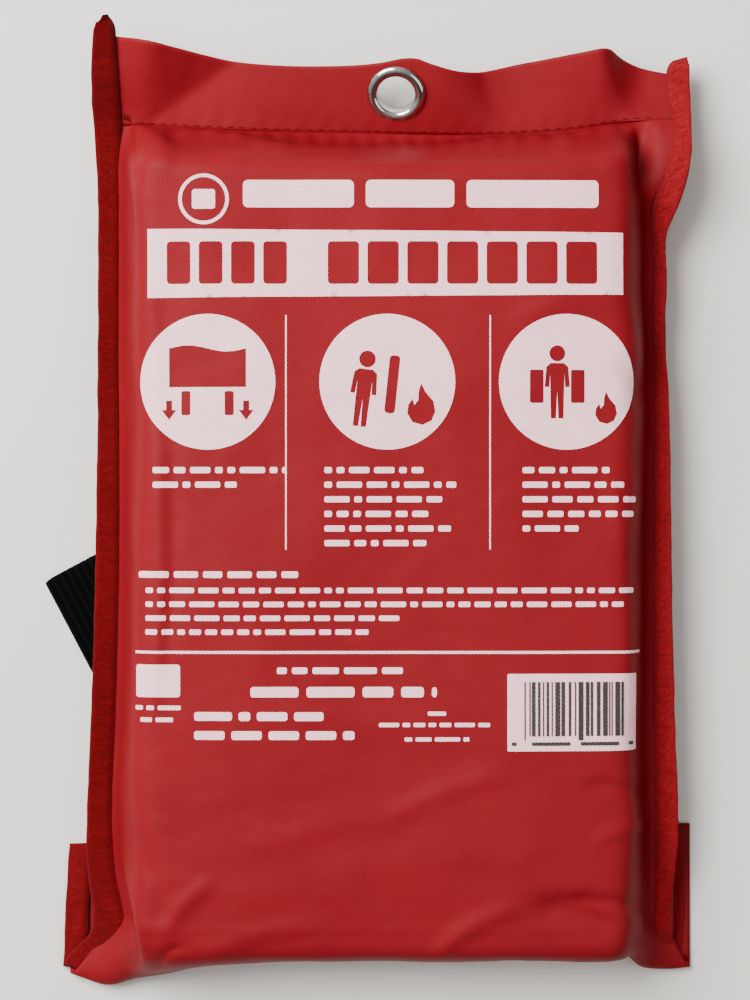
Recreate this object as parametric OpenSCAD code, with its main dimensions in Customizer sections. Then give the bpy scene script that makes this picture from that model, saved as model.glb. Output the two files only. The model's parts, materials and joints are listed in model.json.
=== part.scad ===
// Fire blanket in a soft hanging pouch, lying on its back.
// X runs across the pouch, Y from the mouth towards the hanging eyelet, Z up from the surface.

/* [Pouch] */
// Width of the pouch over the seam flanges, without the edge tape
pouch_w = 168; // [160:1:176]
// Thickness of one layer of the pouch cloth
cloth_t = 0.6; // [0.4:0.1:0.6]
// Thickness of the edge tape
tape_t = 0.7; // [0.5:0.1:0.7]
// Width that the edge tape covers on each face
tape_w = 6.5; // [5:0.5:6.5]
// Height of the header band above its stitch line
header_l = 19; // [19:1:22]

/* [Eyelet] */
// Radius of the hole through the hanging eyelet
eyelet_r = 5.5; // [4.5:0.5:5.5]
// Width of the eyelet's rolled rim
rim_w = 3; // [2.6:0.1:3]

/* [Blanket] */
// Width of the folded blanket
pack_w = 143; // [136:1:144]
// Length of the folded blanket
pack_l = 229; // [215:1:229]
// Thickness of one bundle of folded plies
bundle_t = 5.05; // [4.6:0.05:5.05]
// Number of bundles that the long fold makes
bundles = 4; // [4:2:4]
// Gap between bundles
bundle_gap = 0.6; // [0.6:0.1:0.8]

/* [Pull straps] */
// Width of the webbing
strap_w = 38; // [25:1:40]
// Thickness of the doubled webbing
strap_t = 2.5; // [1.8:0.1:2.5]
// Distance of each strap from the middle of the pouch
strap_x = 43.5; // [36:0.5:46]
// Length of the free handle, from the mouth to its tip
handle_l = 84.5; // [60:0.5:84.5]
// Lean of the left handle, towards the left
lean_left = 28; // [20:1:28]
// Lean of the right handle, towards the right
lean_right = 12; // [0:1:12]

/* [Closing flap] */
// Width of the flap's folded lip, without its edge tape
lip_w = 178; // [170:1:180]
// Length of the folded lip
lip_l = 34; // [32:1:36]

/* [Hidden] */

// The whole outline is centred on the origin, and the left handle reaches further than the right side
place_x = 5.1;
place_y = -3.5;

// Running gap between parts that move apart
gap = 0.3;
// Extra length of a cutting shape
over = 1;
// Facets of a full circle
$fn = 48;

// Heights of the layers above the surface, from the bottom up
lip_z = tape_t;
strap_z = lip_z + cloth_t + gap;
mouth_z = strap_z + strap_t + gap;
rear_low = tape_t;
rear_high = mouth_z + cloth_t + gap + tape_t;
pack_z = rear_high + cloth_t + 0.4;
pack_t = bundles * bundle_t + (bundles - 1) * bundle_gap;
top_z = pack_z + pack_t + 0.4 + cloth_t;

// Places along Y
front_end = -131.2;
end_y = -132.8;
rear_end = -128;
pack_y = -126;
hem_y = pack_y - 3;
anchor_y = hem_y - 1.2;
lip_end = end_y + cloth_t + lip_l;
pivot_y = lip_end + 10.7;
ramp_low = 12;
ramp_top = 36;
shoulder_y = pack_y + pack_l + over;
header_y = 109.5;
header_top = header_y + header_l;
tape_top_left = header_top + 12;
tape_top_right = header_top + 1.5;

// Half widths of the filled pouch at its foot, its side and its top face
foot_half = 77;
side_half = 75.5;
face_half = 73;
flange_half = pouch_w / 2;
shell_t = 0.8;

eyelet_x = 3;
eyelet_y = header_y + 9.6;
header_z = rear_low + 4 * cloth_t;
barrel_t = 0.7;
stitch_r = 0.25;
stitch_l = 3.2;

tape_red = [0.75, 0.06, 0.08];
cloth_red = [0.72, 0.10, 0.12];
thread_red = [0.55, 0.05, 0.06];

// Height of the rear face over the surface: flat at the top, lifted over the folded flap
function rest_z(y) = rear_low + (rear_high - rear_low) * (1 - min(1, max(0, (y - ramp_low) / (ramp_top - ramp_low))));
// Angle of the rear face at y
function rest_angle(y) = y > ramp_low && y < ramp_top ? -atan((rear_high - rear_low) / (ramp_top - ramp_low)) : 0;
// Places along Y where a layer of cloth starts, bends and ends
function bend_places(y) = [for (v = [y[0], ramp_low, ramp_top, y[1]]) if (v >= y[0] && v <= y[1]) v];

module placed() {
    translate([place_x, place_y, 0]) children();
}

// A block from its low and high limits on each axis
module block(x, y, z) {
    translate([x[0], y[0], z[0]]) cube([x[1] - x[0], y[1] - y[0], z[1] - z[0]]);
}

// A shape drawn in Y and Z, stretched along X
module across(x) {
    translate([x[0], 0, 0]) rotate([90, 0, 90]) linear_extrude(x[1] - x[0]) children();
}

// A layer that follows the rear face, lift above it and t thick
module draped(x, y, lift, t) {
    ys = bend_places(y);
    under = [for (v = ys) [v, rest_z(v) + lift]];
    upper = [for (i = [len(ys) - 1:-1:0]) [ys[i], rest_z(ys[i]) + lift + t]];
    across(x) polygon(concat(under, upper));
}

// One stitch of thread, lying along X on a face at height z
module stitch(x, y, z, turn = 0, tilt = 0) {
    translate([x, y, z]) rotate([0, 0, turn]) rotate([0, 90 + tilt, 0])
        cylinder(h = stitch_l, r = stitch_r, center = true);
}

// A row of stitches along X from x[0] to x[1]
module stitch_row(x, y, z, pitch) {
    for (v = [x[0]:pitch:x[1]]) stitch(v, y, z);
}

// The closed outline of the filled pouch, in by inset
module pouch_form(inset, far) {
    hull() {
        for (y = [front_end - far, shoulder_y - inset]) {
            block([-foot_half + inset, foot_half - inset], [y, y + over], [0, over]);
            block([-side_half + inset, side_half - inset], [y, y + over], [top_z - 8, top_z - 7]);
            block([-face_half + inset, face_half - inset], [y, y + over], [top_z - inset - over, top_z - inset]);
        }
        block([-foot_half + inset, foot_half - inset], [header_y - over - inset, header_y - inset], [0, over]);
    }
}

module front_panel() {
    color(cloth_red) placed() {
        difference() {
            pouch_form(0, 0);
            pouch_form(shell_t, over);
            draped([-flange_half, flange_half], [front_end - over, header_y + over], -20, 20 + cloth_t);
        }
        for (side = [-1, 1])
            draped(side > 0 ? [foot_half - shell_t, flange_half] : [-flange_half, shell_t - foot_half],
                [front_end, header_y], cloth_t, cloth_t);
    }
}

module rear_panel() {
    color(cloth_red) placed() draped([-flange_half, flange_half], [rear_end, header_y], 0, cloth_t);
}

module header_band() {
    band_half = flange_half - tape_w - gap;
    color(cloth_red) placed() {
        difference() {
            union() {
                block([-band_half, band_half], [header_y, header_top], [rear_low, header_z]);
                block([-flange_half, flange_half], [header_y, header_top], [rear_low, rear_low + 2 * cloth_t]);
            }
            translate([eyelet_x, eyelet_y, -over]) cylinder(h = header_z + 2 * over, r = eyelet_r + barrel_t);
        }
    }
}

module header_stitching() {
    color(thread_red) placed() stitch_row([-70, 70], header_y + 0.6, header_z + stitch_r, 5);
}

// Folded tape over one seam flange, from the mouth to past the header
module side_binding(side, top) {
    inner = side * (flange_half - tape_w);
    edge = side * flange_half;
    outer = side * (flange_half + tape_t);
    color(tape_red) placed() {
        draped([min(inner, edge), max(inner, edge)], [front_end, top], 2 * cloth_t, tape_t);
        draped([min(inner, edge), max(inner, edge)], [front_end, top], -tape_t, tape_t);
        draped([min(edge, outer), max(edge, outer)], [front_end, top], -tape_t, 2 * (cloth_t + tape_t));
    }
}

module side_binding_left() side_binding(-1, tape_top_left);
module side_binding_right() side_binding(1, tape_top_right);

module binding_stitching(side) {
    x = side * (flange_half - tape_w + 2);
    color(thread_red) placed()
        for (y = [front_end + 7:6:header_top - 4])
            stitch(x, y, rest_z(y) + 2 * cloth_t + tape_t + stitch_r / cos(rest_angle(y)), 90, -rest_angle(y));
}

module binding_stitching_left() binding_stitching(-1);
module binding_stitching_right() binding_stitching(1);

// Eyelet half with the rolled rim on the front and the barrel through the header
module eyelet_barrel() {
    rim_r = rim_w / 2;
    color("silver") placed() translate([eyelet_x, eyelet_y, 0]) {
        difference() {
            cylinder(h = header_z, r = eyelet_r + barrel_t);
            translate([0, 0, -over]) cylinder(h = header_z + 2 * over, r = eyelet_r);
        }
        rotate_extrude() translate([eyelet_r + rim_r, header_z]) intersection() {
            circle(rim_r);
            translate([-rim_w, 0]) square([2 * rim_w, rim_w]);
        }
    }
}

module eyelet_washer() {
    color("silver") placed() translate([eyelet_x, eyelet_y, 0]) difference() {
        cylinder(h = rear_low, r = eyelet_r + rim_w);
        translate([0, 0, -over]) cylinder(h = rear_low + 2 * over, r = eyelet_r + barrel_t);
    }
}

// Printed marks on the front face: title band, three picture discs, divider lines and a label field
module front_print() {
    ink_t = 0.2;
    disc_r = 19.5;
    color("white") placed() translate([0, 0, top_z]) {
        block([-66, 66], [60, 78], [0, ink_t]);
        for (x = [-47, 0, 47]) translate([x, 35, 0]) cylinder(h = ink_t, r = disc_r);
        for (x = [-24, 24]) block([x - 0.3, x + 0.3], [-13, 54], [0, ink_t]);
        block([-70, 70], [-42, -41], [0, ink_t]);
        block([34, 70], [-70, -48], [0, ink_t]);
    }
}

// Plain bars on the label field
module print_bars() {
    bar_t = 0.2;
    color([0.1, 0.1, 0.12]) placed() translate([0, 0, top_z + bar_t])
        for (i = [0:8]) block([38 + 3.4 * i, 39.4 + 3.4 * i], [-66, -50], [0, bar_t]);
}

// The blanket folded into bundles that turn back at each end
module fire_blanket() {
    pitch = bundle_t + bundle_gap;
    fold_r = bundle_t + bundle_gap / 2;
    color([0.9, 0.9, 0.86]) placed() across([-pack_w / 2, pack_w / 2]) {
        for (i = [0:bundles - 1]) {
            free_end = i == 0 || i == bundles - 1;
            low = pack_y + (free_end ? 0 : fold_r);
            translate([low, pack_z + i * pitch]) square([pack_y + pack_l - fold_r - low, bundle_t]);
        }
        for (i = [0:bundles - 2]) {
            far = i % 2 == 0;
            translate([far ? pack_y + pack_l - fold_r : pack_y + fold_r, pack_z + i * pitch + fold_r])
                difference() {
                    circle(fold_r);
                    circle(bundle_gap / 2);
                    translate([far ? -2 * fold_r : 0, -fold_r]) square([2 * fold_r, 2 * fold_r]);
                }
        }
    }
}

module blanket_hem() {
    color([0.85, 0.84, 0.78]) placed()
        block([-pack_w / 2, pack_w / 2], [hem_y, pack_y], [pack_z, pack_z + bundle_t]);
}

// Webbing end that is sewn to the blanket's hem
module strap_anchor(side) {
    color([0.06, 0.06, 0.07]) placed()
        block([side * strap_x - strap_w / 2, side * strap_x + strap_w / 2], [anchor_y, hem_y],
            [mouth_z, pack_z + bundle_t]);
}

module strap_anchor_left() strap_anchor(-1);
module strap_anchor_right() strap_anchor(1);

// Two rows of stitches across each webbing end
module anchor_stitching() {
    color([0.12, 0.12, 0.13]) placed()
        for (side = [-1, 1], z = [pack_z + 1, pack_z + bundle_t - 1])
            stitch_row([side * strap_x - 16, side * strap_x + 16], anchor_y - stitch_r, z, 4);
}

// Cloth that closes the mouth end, hanging from the front panel's edge
module flap_end() {
    color(cloth_red) placed()
        block([-80, 80], [end_y, end_y + cloth_t], [lip_z + cloth_t + 0.4, top_z]);
}

// Tape along one side edge of the end cloth
module end_binding(side) {
    inner = side * 76;
    edge = side * 80;
    outer = side * (80 + tape_t);
    z = [lip_z + cloth_t + 0.8, top_z - over];
    color(tape_red) placed() {
        block([min(inner, edge), max(inner, edge)], [end_y - tape_t, end_y], z);
        block([min(inner, edge), max(inner, edge)], [end_y + cloth_t, end_y + cloth_t + tape_t], z);
        block([min(edge, outer), max(edge, outer)], [end_y - tape_t, end_y + cloth_t + tape_t], z);
    }
}

module end_binding_left() end_binding(-1);
module end_binding_right() end_binding(1);

// Cloth folded back under the pouch, which holds the straps in place
module flap_lip() {
    color(cloth_red) placed()
        block([-lip_w / 2, lip_w / 2], [end_y + cloth_t, lip_end], [lip_z, lip_z + cloth_t]);
}

module lip_binding(side) {
    inner = side * (lip_w / 2 - tape_w);
    edge = side * lip_w / 2;
    outer = side * (lip_w / 2 + tape_t);
    y = [end_y + cloth_t, lip_end];
    color(tape_red) placed() {
        block([min(inner, edge), max(inner, edge)], y, [0, lip_z]);
        block([min(inner, edge), max(inner, edge)], y, [lip_z + cloth_t, lip_z + cloth_t + tape_t]);
        block([min(edge, outer), max(edge, outer)], y, [0, lip_z + cloth_t + tape_t]);
    }
}

module lip_binding_left() lip_binding(-1);
module lip_binding_right() lip_binding(1);

// Hem stitches along the lip's free edge, on its outer face
module lip_stitching() {
    color(thread_red) placed() stitch_row([-75, 75], lip_end - 5, lip_z - stitch_r, 5);
}

module loop_tape() {
    color([0.5, 0.05, 0.06]) placed()
        block([-15, 15], [lip_end - 16, lip_end - 3], [lip_z + cloth_t, lip_z + cloth_t + 1.4]);
}

// Cloth that carries on from the rear panel, folded up inside the lip
module mouth_lip() {
    color(cloth_red) placed()
        block([-80, 80], [rear_end + 0.1, lip_end], [mouth_z, mouth_z + cloth_t]);
}

module hook_tape() {
    color([0.5, 0.05, 0.06]) placed() block([-15, 15], [lip_end - 16, lip_end - 3], [mouth_z - 1.4, mouth_z]);
}

// Hem stitches of the mouth lip, on the face towards the rear panel
module mouth_stitching() {
    color(thread_red) placed() stitch_row([-70, 70], lip_end - 5, mouth_z + cloth_t + stitch_r, 5);
}

// Webbing from the blanket's hem to the mouth, cut along the line where the handle bends
module strap_root(side, lean) {
    rise = strap_w / 2 * tan(lean) * side;
    base = pivot_y - gap / cos(lean);
    color([0.05, 0.05, 0.06]) placed() translate([side * strap_x, 0, strap_z]) linear_extrude(strap_t)
        polygon([
            [-strap_w / 2, anchor_y], [strap_w / 2, anchor_y],
            [strap_w / 2, base - rise], [-strap_w / 2, base + rise]
        ]);
}

module strap_left_root() strap_root(-1, lean_left);
module strap_right_root() strap_root(1, lean_right);

// Children drawn in a handle's own frame, with the pivot at the origin and the tip along Y
module at_handle(side, lean) {
    placed() translate([side * strap_x, pivot_y, strap_z]) rotate([0, 0, -side * lean]) children();
}

// Doubled webbing with a rounded fold at its tip
module strap_handle(side, lean) {
    fold_r = strap_t / 2;
    color([0.05, 0.05, 0.06]) at_handle(side, lean) {
        block([-strap_w / 2, strap_w / 2], [gap, handle_l - fold_r], [0, strap_t]);
        translate([-strap_w / 2, handle_l - fold_r, fold_r]) rotate([0, 90, 0]) cylinder(h = strap_w, r = fold_r);
    }
}

module strap_left_handle() strap_handle(-1, lean_left);
module strap_right_handle() strap_handle(1, lean_right);

// Rows of stitches that close each loop, on the upper face
module strap_stitching(side, lean) {
    color([0.12, 0.12, 0.13]) at_handle(side, lean)
        for (y = [6, 24]) stitch_row([-16, 16], y, strap_t + stitch_r, 4);
}

module strap_left_stitching() strap_stitching(-1, lean_left);
module strap_right_stitching() strap_stitching(1, lean_right);

front_panel();
rear_panel();
header_band();
header_stitching();
side_binding_left();
side_binding_right();
binding_stitching_left();
binding_stitching_right();
eyelet_barrel();
eyelet_washer();
front_print();
print_bars();
fire_blanket();
blanket_hem();
strap_anchor_left();
strap_anchor_right();
anchor_stitching();
flap_end();
end_binding_left();
end_binding_right();
flap_lip();
lip_binding_left();
lip_binding_right();
lip_stitching();
loop_tape();
mouth_lip();
hook_tape();
mouth_stitching();
strap_left_root();
strap_right_root();
strap_left_handle();
strap_left_stitching();
strap_right_handle();
strap_right_stitching();
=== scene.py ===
import json
import math
import random

import bmesh
import bpy
import numpy as np
from mathutils import Matrix, Vector, noise
from mathutils.bvhtree import BVHTree
from mathutils.geometry import delaunay_2d_cdt

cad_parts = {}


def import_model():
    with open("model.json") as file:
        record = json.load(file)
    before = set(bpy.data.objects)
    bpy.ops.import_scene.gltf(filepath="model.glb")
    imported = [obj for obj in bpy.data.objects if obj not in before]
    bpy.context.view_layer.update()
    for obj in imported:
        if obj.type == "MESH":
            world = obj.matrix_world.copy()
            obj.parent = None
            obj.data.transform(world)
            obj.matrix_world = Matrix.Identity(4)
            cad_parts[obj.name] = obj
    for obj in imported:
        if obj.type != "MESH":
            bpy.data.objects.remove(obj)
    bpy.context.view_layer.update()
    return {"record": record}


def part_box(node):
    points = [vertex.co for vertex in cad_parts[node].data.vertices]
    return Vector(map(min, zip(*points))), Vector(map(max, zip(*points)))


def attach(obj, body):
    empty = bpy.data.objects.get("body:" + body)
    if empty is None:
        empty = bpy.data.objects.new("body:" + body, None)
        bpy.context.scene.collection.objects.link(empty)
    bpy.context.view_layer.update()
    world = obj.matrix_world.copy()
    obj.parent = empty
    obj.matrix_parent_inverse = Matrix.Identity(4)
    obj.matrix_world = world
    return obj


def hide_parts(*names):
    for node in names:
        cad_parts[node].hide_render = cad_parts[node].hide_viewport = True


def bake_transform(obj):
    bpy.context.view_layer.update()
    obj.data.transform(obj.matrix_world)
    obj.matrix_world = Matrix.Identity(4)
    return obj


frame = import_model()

# ---------------------------------------------------------------- places, all from the frame
MM = 0.001
REAR_LO, REAR_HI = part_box("rear_panel")
HEAD_LO, HEAD_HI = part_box("header_band")
LIP_LO, LIP_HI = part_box("flap_lip")
FRONT_LO, FRONT_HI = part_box("front_panel")
BLANKET_LO, BLANKET_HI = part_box("fire_blanket")
MID_X = (REAR_LO.x + REAR_HI.x) / 2 / MM
# The shapes below are in millimetres in the pouch's own frame: x from its middle, y from this line
HEADER_Y = 109.5
MID_Y = HEAD_LO.y / MM - HEADER_Y
TOP_Z = FRONT_HI.z / MM
END_Y = LIP_LO.y / MM - MID_Y
LIP_END = LIP_HI.y / MM - MID_Y
PACK_X = (BLANKET_HI.x - BLANKET_LO.x) / 2 / MM
PACK_Y = BLANKET_LO.y / MM - MID_Y
PACK_TOP = BLANKET_HI.y / MM - MID_Y
PACK_Z0 = BLANKET_LO.z / MM
PACK_Z1 = BLANKET_HI.z / MM
random.seed(7)


def world(p):
    """Pouch millimetres to metres in the row frame."""
    p = np.asarray(p, float)
    return (p + np.array([MID_X, MID_Y, 0.0])) * MM


def smooth(t):
    t = np.clip(t, 0, 1)
    return t * t * (3 - 2 * t)


def curve(points, at):
    """A smooth curve through points (t, values...), read at the places given."""
    pts = np.asarray(points, float)
    t, v = pts[:, 0], pts[:, 1:]
    slope = np.gradient(v, t, axis=0)
    at = np.asarray(at, float)
    k = np.clip(np.searchsorted(t, at) - 1, 0, len(t) - 2)
    h = t[k + 1] - t[k]
    s = np.clip((at - t[k]) / h, 0, 1)[..., None]
    h = h[..., None]
    h00, h10 = 2 * s**3 - 3 * s**2 + 1, s**3 - 2 * s**2 + s
    h01, h11 = -2 * s**3 + 3 * s**2, s**3 - s**2
    return h00 * v[k] + h10 * h * slope[k] + h01 * v[k + 1] + h11 * h * slope[k + 1]


def waves(p, size, seed=0.0):
    """Smooth noise from -1 to 1 at points p, in features of the given size."""
    return np.array([noise.noise(Vector((a / size, b / size, c / size + seed))) for a, b, c in p.reshape(-1, 3)]).reshape(p.shape[:-1])


# ---------------------------------------------------------------- meshes
def finish_object(name, mesh, material, body=None):
    ob = bpy.data.objects.new(name, mesh)
    bpy.context.scene.collection.objects.link(ob)
    mesh.materials.append(material)
    for poly in mesh.polygons:
        poly.use_smooth = True
    if body:
        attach(ob, body)
    return ob


def weave_places(mesh, values):
    """Places on the flat cloth, in metres, for the weave of the materials."""
    attribute = mesh.attributes.new("weave", "FLOAT_VECTOR", "POINT")
    data = np.zeros((len(mesh.vertices), 3), np.float32)
    data[:, :2] = np.asarray(values, float)[:, :2]
    attribute.data.foreach_set("vector", data.ravel())


def grid(name, p, flat, material, body=None, wrap=False, drop=None):
    """A mesh of quads over p[row, column] in pouch millimetres; flat is each point's place on the flat cloth."""
    rows, cols = p.shape[:2]
    index = np.arange(rows * cols).reshape(rows, cols)
    if wrap:
        index = np.concatenate([index, index[:, :1]], axis=1)
    quads = np.stack([index[:-1, :-1], index[:-1, 1:], index[1:, 1:], index[1:, :-1]], axis=-1).reshape(-1, 4)
    flat_p = p.reshape(-1, 3)
    if drop is not None:
        middle = flat_p[quads].mean(axis=1)
        quads = quads[~drop(middle)]
    mesh = bpy.data.meshes.new(name)
    mesh.from_pydata(world(flat_p).tolist(), [], quads.tolist())
    weave_places(mesh, np.asarray(flat, float).reshape(-1, 2) * MM)
    if drop is not None:
        bm = bmesh.new()
        bm.from_mesh(mesh)
        bmesh.ops.delete(bm, geom=[v for v in bm.verts if not v.link_faces], context="VERTS")
        bm.to_mesh(mesh)
        bm.free()
    return finish_object(name, mesh, material, body)


def modify(ob, kind, **values):
    m = ob.modifiers.new(kind.title(), kind)
    for key, value in values.items():
        setattr(m, key, value)
    return m


def apply_all(ob):
    bpy.context.view_layer.update()
    evaluated = ob.evaluated_get(bpy.context.evaluated_depsgraph_get())
    mesh = bpy.data.meshes.new_from_object(evaluated, preserve_all_data_layers=True, depsgraph=bpy.context.evaluated_depsgraph_get())
    ob.modifiers.clear()
    ob.data = mesh
    return ob


def thicken(ob, thickness, offset=-1.0):
    modify(ob, "SOLIDIFY", thickness=thickness * MM, offset=offset)
    return apply_all(ob)


# ---------------------------------------------------------------- materials
class Nodes:
    """A short way to wire a material's nodes."""

    def __init__(self, name):
        self.material = bpy.data.materials.new(name)
        self.material.use_nodes = True
        self.tree = self.material.node_tree
        self.shader = self.tree.nodes["Principled BSDF"]

    def add(self, kind, values=None, **props):
        node = self.tree.nodes.new(kind)
        for key, value in props.items():
            setattr(node, key, value)
        for key, value in (values or {}).items():
            if isinstance(value, bpy.types.NodeSocket):
                self.tree.links.new(value, node.inputs[key])
            else:
                node.inputs[key].default_value = value
        return node

    def math(self, operation, a, b=0.0, clamp=False):
        node = self.add("ShaderNodeMath", {0: a, 1: b}, operation=operation)
        node.use_clamp = clamp
        return node.outputs[0]

    def mix(self, factor, a, b, blend="MIX"):
        node = self.add("ShaderNodeMix", data_type="RGBA", blend_type=blend)
        for socket, value in ((0, factor), (6, a), (7, b)):
            if isinstance(value, bpy.types.NodeSocket):
                self.tree.links.new(value, node.inputs[socket])
            elif socket == 0:
                node.inputs[0].default_value = value
            else:
                node.inputs[socket].default_value = (*value, 1.0)
        return node.outputs[2]

    def ramp(self, value, stops):
        node = self.add("ShaderNodeValToRGB", {0: value})
        ramp = node.color_ramp
        while len(ramp.elements) < len(stops):
            ramp.elements.new(0.5)
        for element, (place, grey) in zip(ramp.elements, stops):
            element.position = place
            element.color = (grey, grey, grey, 1.0)
        return node.outputs[0]

    def noise(self, vector, scale, detail=2.0, roughness=0.5):
        return self.add("ShaderNodeTexNoise", {"Vector": vector, "Scale": scale, "Detail": detail, "Roughness": roughness}).outputs[0]

    def place(self):
        return self.add("ShaderNodeTexCoord").outputs["Object"]

    def flat(self):
        return self.add("ShaderNodeAttribute", attribute_name="weave").outputs["Vector"]

    def bump(self, height, distance, strength=1.0, normal=None):
        values = {"Height": height, "Distance": distance, "Strength": strength}
        if normal is not None:
            values["Normal"] = normal
        return self.add("ShaderNodeBump", values).outputs[0]

    def set(self, **values):
        names = {"color": "Base Color", "rough": "Roughness", "metal": "Metallic", "sheen": "Sheen Weight",
                 "sheen_rough": "Sheen Roughness", "coat": "Coat Weight", "coat_rough": "Coat Roughness",
                 "specular": "Specular IOR Level", "normal": "Normal", "aniso": "Anisotropic"}
        for key, value in values.items():
            socket = self.shader.inputs[names[key]]
            if isinstance(value, bpy.types.NodeSocket):
                self.tree.links.new(value, socket)
            elif key == "color":
                socket.default_value = (*value, 1.0)
            else:
                socket.default_value = value
        return self.material


def weave_height(n, pitch):
    place = n.add("ShaderNodeSeparateXYZ", {0: n.flat()})
    turn = math.pi / pitch
    across = n.math("SINE", n.math("MULTIPLY", place.outputs[0], turn))
    along = n.math("SINE", n.math("MULTIPLY", place.outputs[1], turn))
    return n.math("ADD", n.math("MULTIPLY", n.math("MULTIPLY", across, along), 0.5), 0.5)


def cloth_material(name="pouch_cloth"):
    """Coated woven polyester: fine plain weave, soft gloss, faint handling marks."""
    n = Nodes(name)
    height = weave_height(n, 0.00058)
    place = n.place()
    broad = n.noise(place, 22.0, 3.0)
    grime = n.noise(place, 260.0, 4.0, 0.65)
    deep = n.mix(n.ramp(broad, [(0.3, 0.0), (0.7, 1.0)]), (0.157, 0.0042, 0.0078), (0.192, 0.0060, 0.0105))
    threads = n.mix(height, (0.120, 0.0028, 0.0056), (0.225, 0.0085, 0.014))
    color = n.mix(0.36, deep, threads)
    color = n.mix(n.ramp(grime, [(0.62, 0.0), (0.8, 0.22)]), color, (0.11, 0.0035, 0.007))
    rough = n.math("ADD", n.math("MULTIPLY", broad, 0.16), 0.44)
    wrinkle = n.bump(n.noise(place, 90.0, 3.0), 0.0006, 0.5)
    return n.set(color=color, rough=rough, normal=n.bump(height, 0.0001, 0.34, wrinkle),
                 sheen=0.0, sheen_rough=0.4, specular=0.075)


def tape_material():
    """Soft non-woven edge tape, with a diagonal pressed grain and a fuzzy face."""
    n = Nodes("edge_tape")
    place = n.add("ShaderNodeMapping", {"Vector": n.flat(), "Rotation": (0.0, 0.0, 0.7), "Scale": (0.24, 1.0, 1.0)},
                  vector_type="TEXTURE").outputs[0]
    grain = n.noise(place, 520.0, 4.0, 0.65)
    lumps = n.noise(n.flat(), 260.0, 2.0)
    broad = n.noise(n.place(), 30.0, 2.0)
    grains = n.ramp(grain, [(0.3, 0.0), (0.7, 1.0)])
    left_tape_painted_shade = n.mix(grains, (0.055, 0.0006, 0.0014), (0.150, 0.0022, 0.0045))
    right_tape_painted_light = n.mix(grains, (0.098, 0.0016, 0.0034), (0.250, 0.0070, 0.0120))
    # Painted light and shade: the left side's tape is painted darker and the right side's tape lighter, for how the
    # light falls on each side
    right = n.ramp(n.math("ADD", n.add("ShaderNodeSeparateXYZ", {0: n.place()}).outputs[0], 0.5), [(0.45, 0.0), (0.55, 1.0)])
    color = n.mix(right, left_tape_painted_shade, right_tape_painted_light)
    color = n.mix(n.ramp(broad, [(0.35, 0.0), (0.75, 0.25)]), color, (0.19, 0.005, 0.009))
    normal = n.bump(grain, 0.00035, 0.8, n.bump(lumps, 0.0006, 0.7))
    return n.set(color=color, rough=0.82, normal=normal, sheen=0.03, sheen_rough=0.5, specular=0.06)


def webbing_material():
    """Black webbing: ribs along its length, crossed by a fine herringbone weave."""
    n = Nodes("webbing")
    place = n.add("ShaderNodeSeparateXYZ", {0: n.flat()})
    rib = n.math("SINE", n.math("MULTIPLY", place.outputs[0], 2 * math.pi / 0.0024))
    lean = n.math("MULTIPLY", n.math("ABSOLUTE", rib), 0.0012)
    twill = n.math("SINE", n.math("MULTIPLY", n.math("ADD", place.outputs[1], lean), 2 * math.pi / 0.0011))
    height = n.math("ADD", n.math("MULTIPLY", rib, 0.35), n.math("MULTIPLY", twill, 0.35))
    color = n.mix(n.math("ADD", height, 0.5, clamp=True), (0.0005, 0.0005, 0.0006), (0.0030, 0.0030, 0.0034))
    return n.set(color=color, rough=0.8, normal=n.bump(height, 0.0003, 0.8), sheen=0.0, sheen_rough=0.4, specular=0.03)


def glass_cloth_material():
    """Woven glass fibre: off-white satin weave with a slight lustre."""
    n = Nodes("glass_cloth")
    height = weave_height(n, 0.0009)
    broad = n.noise(n.place(), 40.0, 3.0)
    color = n.mix(height, (0.52, 0.50, 0.44), (0.80, 0.78, 0.70))
    color = n.mix(n.ramp(broad, [(0.35, 0.0), (0.7, 0.3)]), color, (0.74, 0.69, 0.56))
    return n.set(color=color, rough=0.5, normal=n.bump(height, 0.00025, 0.8), sheen=0.1, sheen_rough=0.4, specular=0.5)


def ink_material(name, light, shade, through):
    """Screen print on the cloth: the weave's low spots take less ink."""
    n = Nodes(name)
    height = weave_height(n, 0.00058)
    specks = n.noise(n.place(), 1500.0, 3.0, 0.6)
    thin = n.ramp(n.math("MULTIPLY", specks, n.math("ADD", height, 0.35)), [(0.22, 1.0), (0.52, 0.0)])
    color = n.mix(n.math("MULTIPLY", thin, through), light, shade)
    return n.set(color=color, rough=0.55, normal=n.bump(height, 0.0001, 0.5), specular=0.35)


def metal_material():
    """Bright plated metal with light brushing round the rim and a few dull spots."""
    n = Nodes("eyelet_metal")
    place = n.place()
    marks = n.noise(place, 700.0, 4.0, 0.7)
    color = n.mix(n.ramp(marks, [(0.4, 0.0), (0.7, 1.0)]), (0.44, 0.43, 0.41), (0.60, 0.59, 0.57))
    rough = n.math("ADD", n.math("MULTIPLY", marks, 0.10), 0.03)
    return n.set(color=color, rough=rough, metal=1.0, normal=n.bump(marks, 0.00003, 0.3))


def thread_material(name, dark, light):
    """Twisted sewing thread."""
    n = Nodes(name)
    place = n.add("ShaderNodeMapping", {"Vector": n.place(), "Rotation": (0.3, 0.2, 0.8)}).outputs[0]
    twist = n.add("ShaderNodeTexWave", {"Vector": place, "Scale": 700.0, "Distortion": 1.5}).outputs[1]
    return n.set(color=n.mix(twist, dark, light), rough=0.6, normal=n.bump(twist, 0.0001, 0.7), sheen=0.0, sheen_rough=0.4, specular=0.1)


def closure_material():
    """Hook and loop pile."""
    n = Nodes("closure_tape")
    pile = n.noise(n.place(), 1400.0, 4.0, 0.8)
    color = n.mix(pile, (0.18, 0.002, 0.004), (0.46, 0.010, 0.016))
    return n.set(color=color, rough=0.9, normal=n.bump(pile, 0.0007, 1.0), sheen=0.4, sheen_rough=0.5)


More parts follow.
